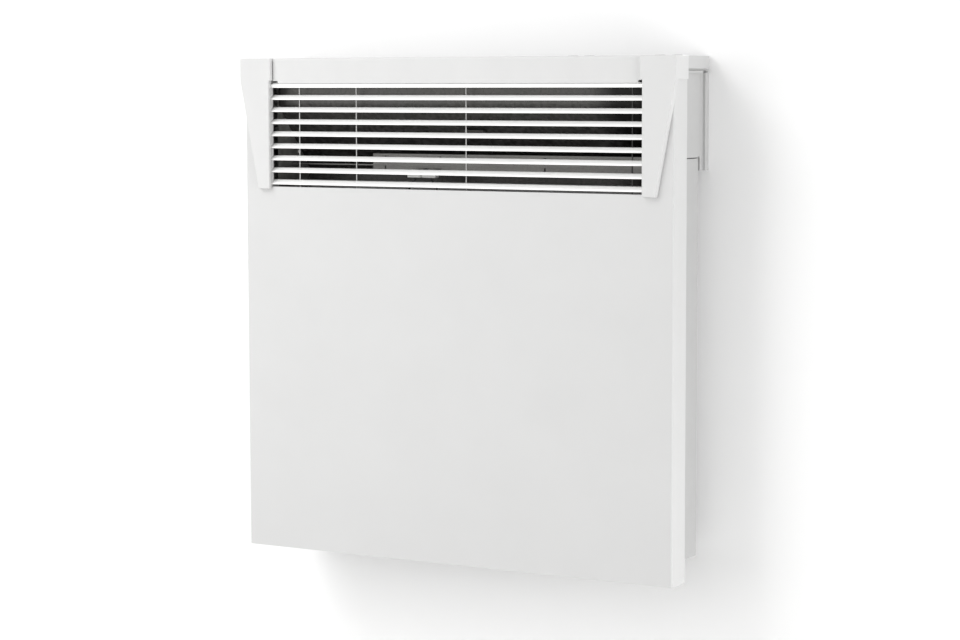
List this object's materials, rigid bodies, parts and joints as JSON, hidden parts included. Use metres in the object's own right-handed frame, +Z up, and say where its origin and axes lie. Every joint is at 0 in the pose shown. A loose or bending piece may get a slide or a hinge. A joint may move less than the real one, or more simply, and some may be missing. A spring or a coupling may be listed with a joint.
{
  "type": "wall panel convector heater",
  "caption": "Flat folded-sheet convector heater hung on a wall rail, with a louvred warm-air outlet between tapered end caps and controls on its top cover.",
  "frame": {"origin": "middle of the wall rail's rear face, on the wall plane", "axes": "+X to the right seen from the front, +Y into the wall, +Z up; the front panel faces -Y"},
  "size_m": [0.4402, 0.086, 0.4514],
  "materials": {
    "panel_white": "satin powder coat",
    "box_white": "satin powder coat",
    "blade_white": "satin powder coat",
    "plastic_white": "fine matt moulding",
    "galvanised": "zinc coated sheet",
    "aluminium": "extruded, matt",
    "steel": "drawn tube",
    "ceramic": "unglazed ceramic",
    "dark_plastic": "fine matt moulding",
    "board": "solder-masked laminate",
    "glass": "tinted clear window",
    "sleeve": "matt nylon",
    "foot": "matt",
    "lead": "silicone sheath",
    "lead_blue": "silicone sheath",
    "lead_dark": "rubber sheath"
  },
  "bodies": {
    "wall_bracket": {"wall_rail": "galvanised", "bracket_end_left": "plastic_white", "bracket_end_right": "plastic_white"},
    "heater": {"front_panel": "panel_white", "top_trim": "plastic_white", "top_cover": "plastic_white", "chassis": "box_white", "inlet_grille": "box_white", "end_cap_left": "plastic_white", "end_cap_right": "plastic_white", "cheek_left": "plastic_white", "cheek_right": "plastic_white", "wall_spacer_left": "foot", "wall_spacer_right": "foot", "grille_frame": "plastic_white", "blade_1": "blade_white", "blade_2": "blade_white", "blade_3": "blade_white", "blade_4": "blade_white", "blade_5": "blade_white", "blade_6": "blade_white", "blade_7": "blade_white", "blade_8": "blade_white", "blade_9": "blade_white", "stay_1": "blade_white", "stay_2": "blade_white", "stay_3": "blade_white", "stay_4": "blade_white", "air_deflector": "galvanised", "duct_end_left": "galvanised", "duct_end_right": "galvanised", "cross_rail": "galvanised", "sensor_plate": "galvanised", "thermal_cutout": "dark_plastic", "cutout_sleeve_left": "sleeve", "cutout_sleeve_right": "sleeve", "heating_element": "aluminium", "element_rod": "steel", "heat_shield": "galvanised", "element_holder_left": "ceramic", "element_holder_right": "ceramic", "element_bracket_left": "galvanised", "element_bracket_right": "galvanised", "rocker_housing": "dark_plastic", "cable_gland": "dark_plastic", "room_sensor": "dark_plastic", "terminal_block": "ceramic", "lead_supply": "lead_dark", "lead_control": "lead", "lead_element": "lead_blue", "lead_cutout": "lead", "lead_cutout_return": "lead", "control_tray": "dark_plastic", "control_board": "board", "display_window": "glass"},
    "power_button": {"button_power": "plastic_white"},
    "down_button": {"button_down": "plastic_white"},
    "up_button": {"button_up": "plastic_white"},
    "mode_button": {"button_mode": "plastic_white"},
    "mains_rocker": {"rocker": "dark_plastic"}
  },
  "joints": [
    {"name": "lift_off", "type": "slide", "parent": "wall_bracket", "child": "heater", "axis": [0, 0, 1], "range_m": [0, 0.012]},
    {"name": "press_power", "type": "slide", "parent": "heater", "child": "power_button", "axis": [0, 0, -1], "range_m": [0, 0.0012], "stiffness_N_per_m": 500, "springref_m": -0.001},
    {"name": "press_down", "type": "slide", "parent": "heater", "child": "down_button", "axis": [0, 0, -1], "range_m": [0, 0.0012], "stiffness_N_per_m": 500, "springref_m": -0.001},
    {"name": "press_up", "type": "slide", "parent": "heater", "child": "up_button", "axis": [0, 0, -1], "range_m": [0, 0.0012], "stiffness_N_per_m": 500, "springref_m": -0.001},
    {"name": "press_mode", "type": "slide", "parent": "heater", "child": "mode_button", "axis": [0, 0, -1], "range_m": [0, 0.0012], "stiffness_N_per_m": 500, "springref_m": -0.001},
    {"name": "switch_mains", "type": "hinge", "parent": "heater", "child": "mains_rocker", "pos_m": [0.15, -0.042, -0.37], "axis": [0, 1, 0], "range_deg": [-16, 0]}
  ]
}
